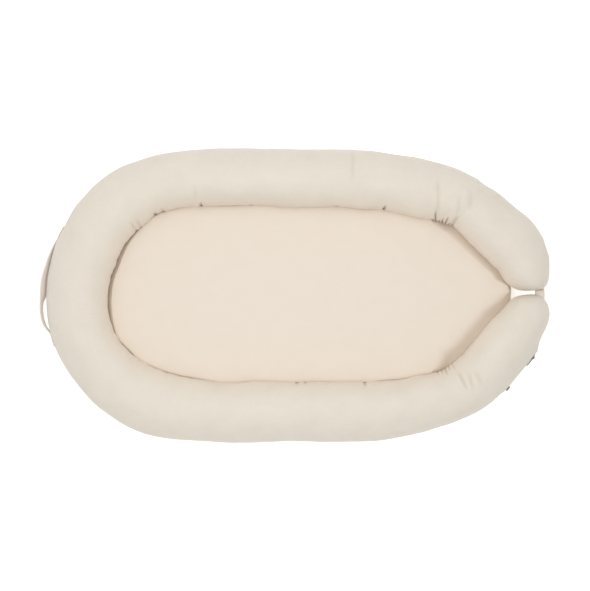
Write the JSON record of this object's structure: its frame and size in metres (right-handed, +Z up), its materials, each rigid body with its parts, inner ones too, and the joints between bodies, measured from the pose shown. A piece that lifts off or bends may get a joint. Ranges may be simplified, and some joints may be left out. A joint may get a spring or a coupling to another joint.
{
  "type": "infant lounger",
  "caption": "Oval infant nest: a stuffed bolster sewn round a thin foam mattress, with free ends that close at a pointed foot, a carry handle at the head and zips for the filling and the foam.",
  "frame": {"origin": "middle of the outline, on the surface that the bolster rests on", "axes": "+X towards the foot, where the bolster's two ends meet; +Y towards the left side of an infant lying on its back; +Z up"},
  "size_m": [0.8945, 0.514, 0.0985],
  "materials": {
    "linen": "matte",
    "cotton": "matte",
    "fibre": "matte",
    "foam": "matte",
    "strap_cloth": "matte",
    "hook_and_loop": "matte",
    "zip_tape": "matte",
    "zip_teeth": "satin",
    "zip_metal": "satin"
  },
  "bodies": {
    "nest": {"bolster_cover": "linen", "bolster_filling": "fibre", "left_elbow_cover": "linen", "left_elbow_filling": "fibre", "right_elbow_cover": "linen", "right_elbow_filling": "fibre", "mattress_foam": "foam", "mattress_top_panel": "cotton", "mattress_base_panel": "cotton", "base_zip_tape_a": "zip_tape", "base_zip_tape_b": "zip_tape", "base_zip_teeth_a": "zip_teeth", "base_zip_teeth_b": "zip_teeth", "base_zip_top_stop_a": "zip_metal", "base_zip_top_stop_b": "zip_metal", "base_zip_bottom_stop": "zip_metal", "handle_anchor_left": "linen", "handle_anchor_right": "linen"},
    "left_wing": {"left_wing_cover": "linen", "left_wing_filling": "fibre", "strap_anchor": "strap_cloth"},
    "right_wing": {"right_wing_cover": "linen", "right_wing_filling": "fibre", "wing_zip_tape_a": "zip_tape", "wing_zip_tape_b": "zip_tape", "wing_zip_teeth_a": "zip_teeth", "wing_zip_teeth_b": "zip_teeth", "wing_zip_top_stop_a": "zip_metal", "wing_zip_top_stop_b": "zip_metal", "wing_zip_bottom_stop": "zip_metal", "loop_tab": "linen", "loop_patch": "hook_and_loop"},
    "strap": {"closing_strap": "strap_cloth", "hook_patch": "hook_and_loop"},
    "base_slider": {"base_zip_slider": "zip_metal"},
    "base_pull": {"base_zip_pull": "zip_metal"},
    "wing_slider": {"wing_zip_slider": "zip_metal"},
    "wing_pull": {"wing_zip_pull": "zip_metal"},
    "handle": {"carry_handle": "linen"}
  },
  "joints": [
    {"name": "left_wing_swing", "type": "hinge", "parent": "nest", "child": "left_wing", "pos_m": [0.27302, 0.17641, 0.049], "axis": [0, 0, 1], "range_deg": [0, 35], "deforming": ["left_elbow_cover", "left_elbow_filling"]},
    {"name": "right_wing_swing", "type": "hinge", "parent": "nest", "child": "right_wing", "pos_m": [0.27312, -0.17672, 0.049], "axis": [0, 0, -1], "range_deg": [0, 35], "deforming": ["right_elbow_cover", "right_elbow_filling"]},
    {"name": "strap_peel", "type": "hinge", "parent": "left_wing", "child": "strap", "pos_m": [0.43012, 0.011, 0.045], "axis": [1, 0, 0], "range_deg": [0, 75]},
    {"name": "base_zip_slide", "type": "slide", "parent": "nest", "child": "base_slider", "axis": [0, -1, 0], "range_m": [0, 0.23], "deforming": ["base_zip_teeth_a", "base_zip_teeth_b"]},
    {"name": "base_pull_swing", "type": "hinge", "parent": "base_slider", "child": "base_pull", "pos_m": [-0.06, 0.11565, 0.00425], "axis": [1, 0, 0], "range_deg": [0, 150]},
    {"name": "wing_zip_slide", "type": "slide", "parent": "right_wing", "child": "wing_slider", "axis": [-0.6293, -0.7771, 0], "range_m": [0, 0.06], "deforming": ["wing_zip_teeth_a", "wing_zip_teeth_b"]},
    {"name": "wing_pull_swing", "type": "hinge", "parent": "wing_slider", "child": "wing_pull", "pos_m": [0.42011, -0.10979, 0.047], "axis": [0, 0, 1], "range_deg": [0, 150]},
    {"name": "handle_swing", "type": "hinge", "parent": "nest", "child": "handle", "pos_m": [-0.42366, 0.01527, 0.049], "axis": [0.061, 0.9981, 0], "range_deg": [-30, 45]}
  ]
}
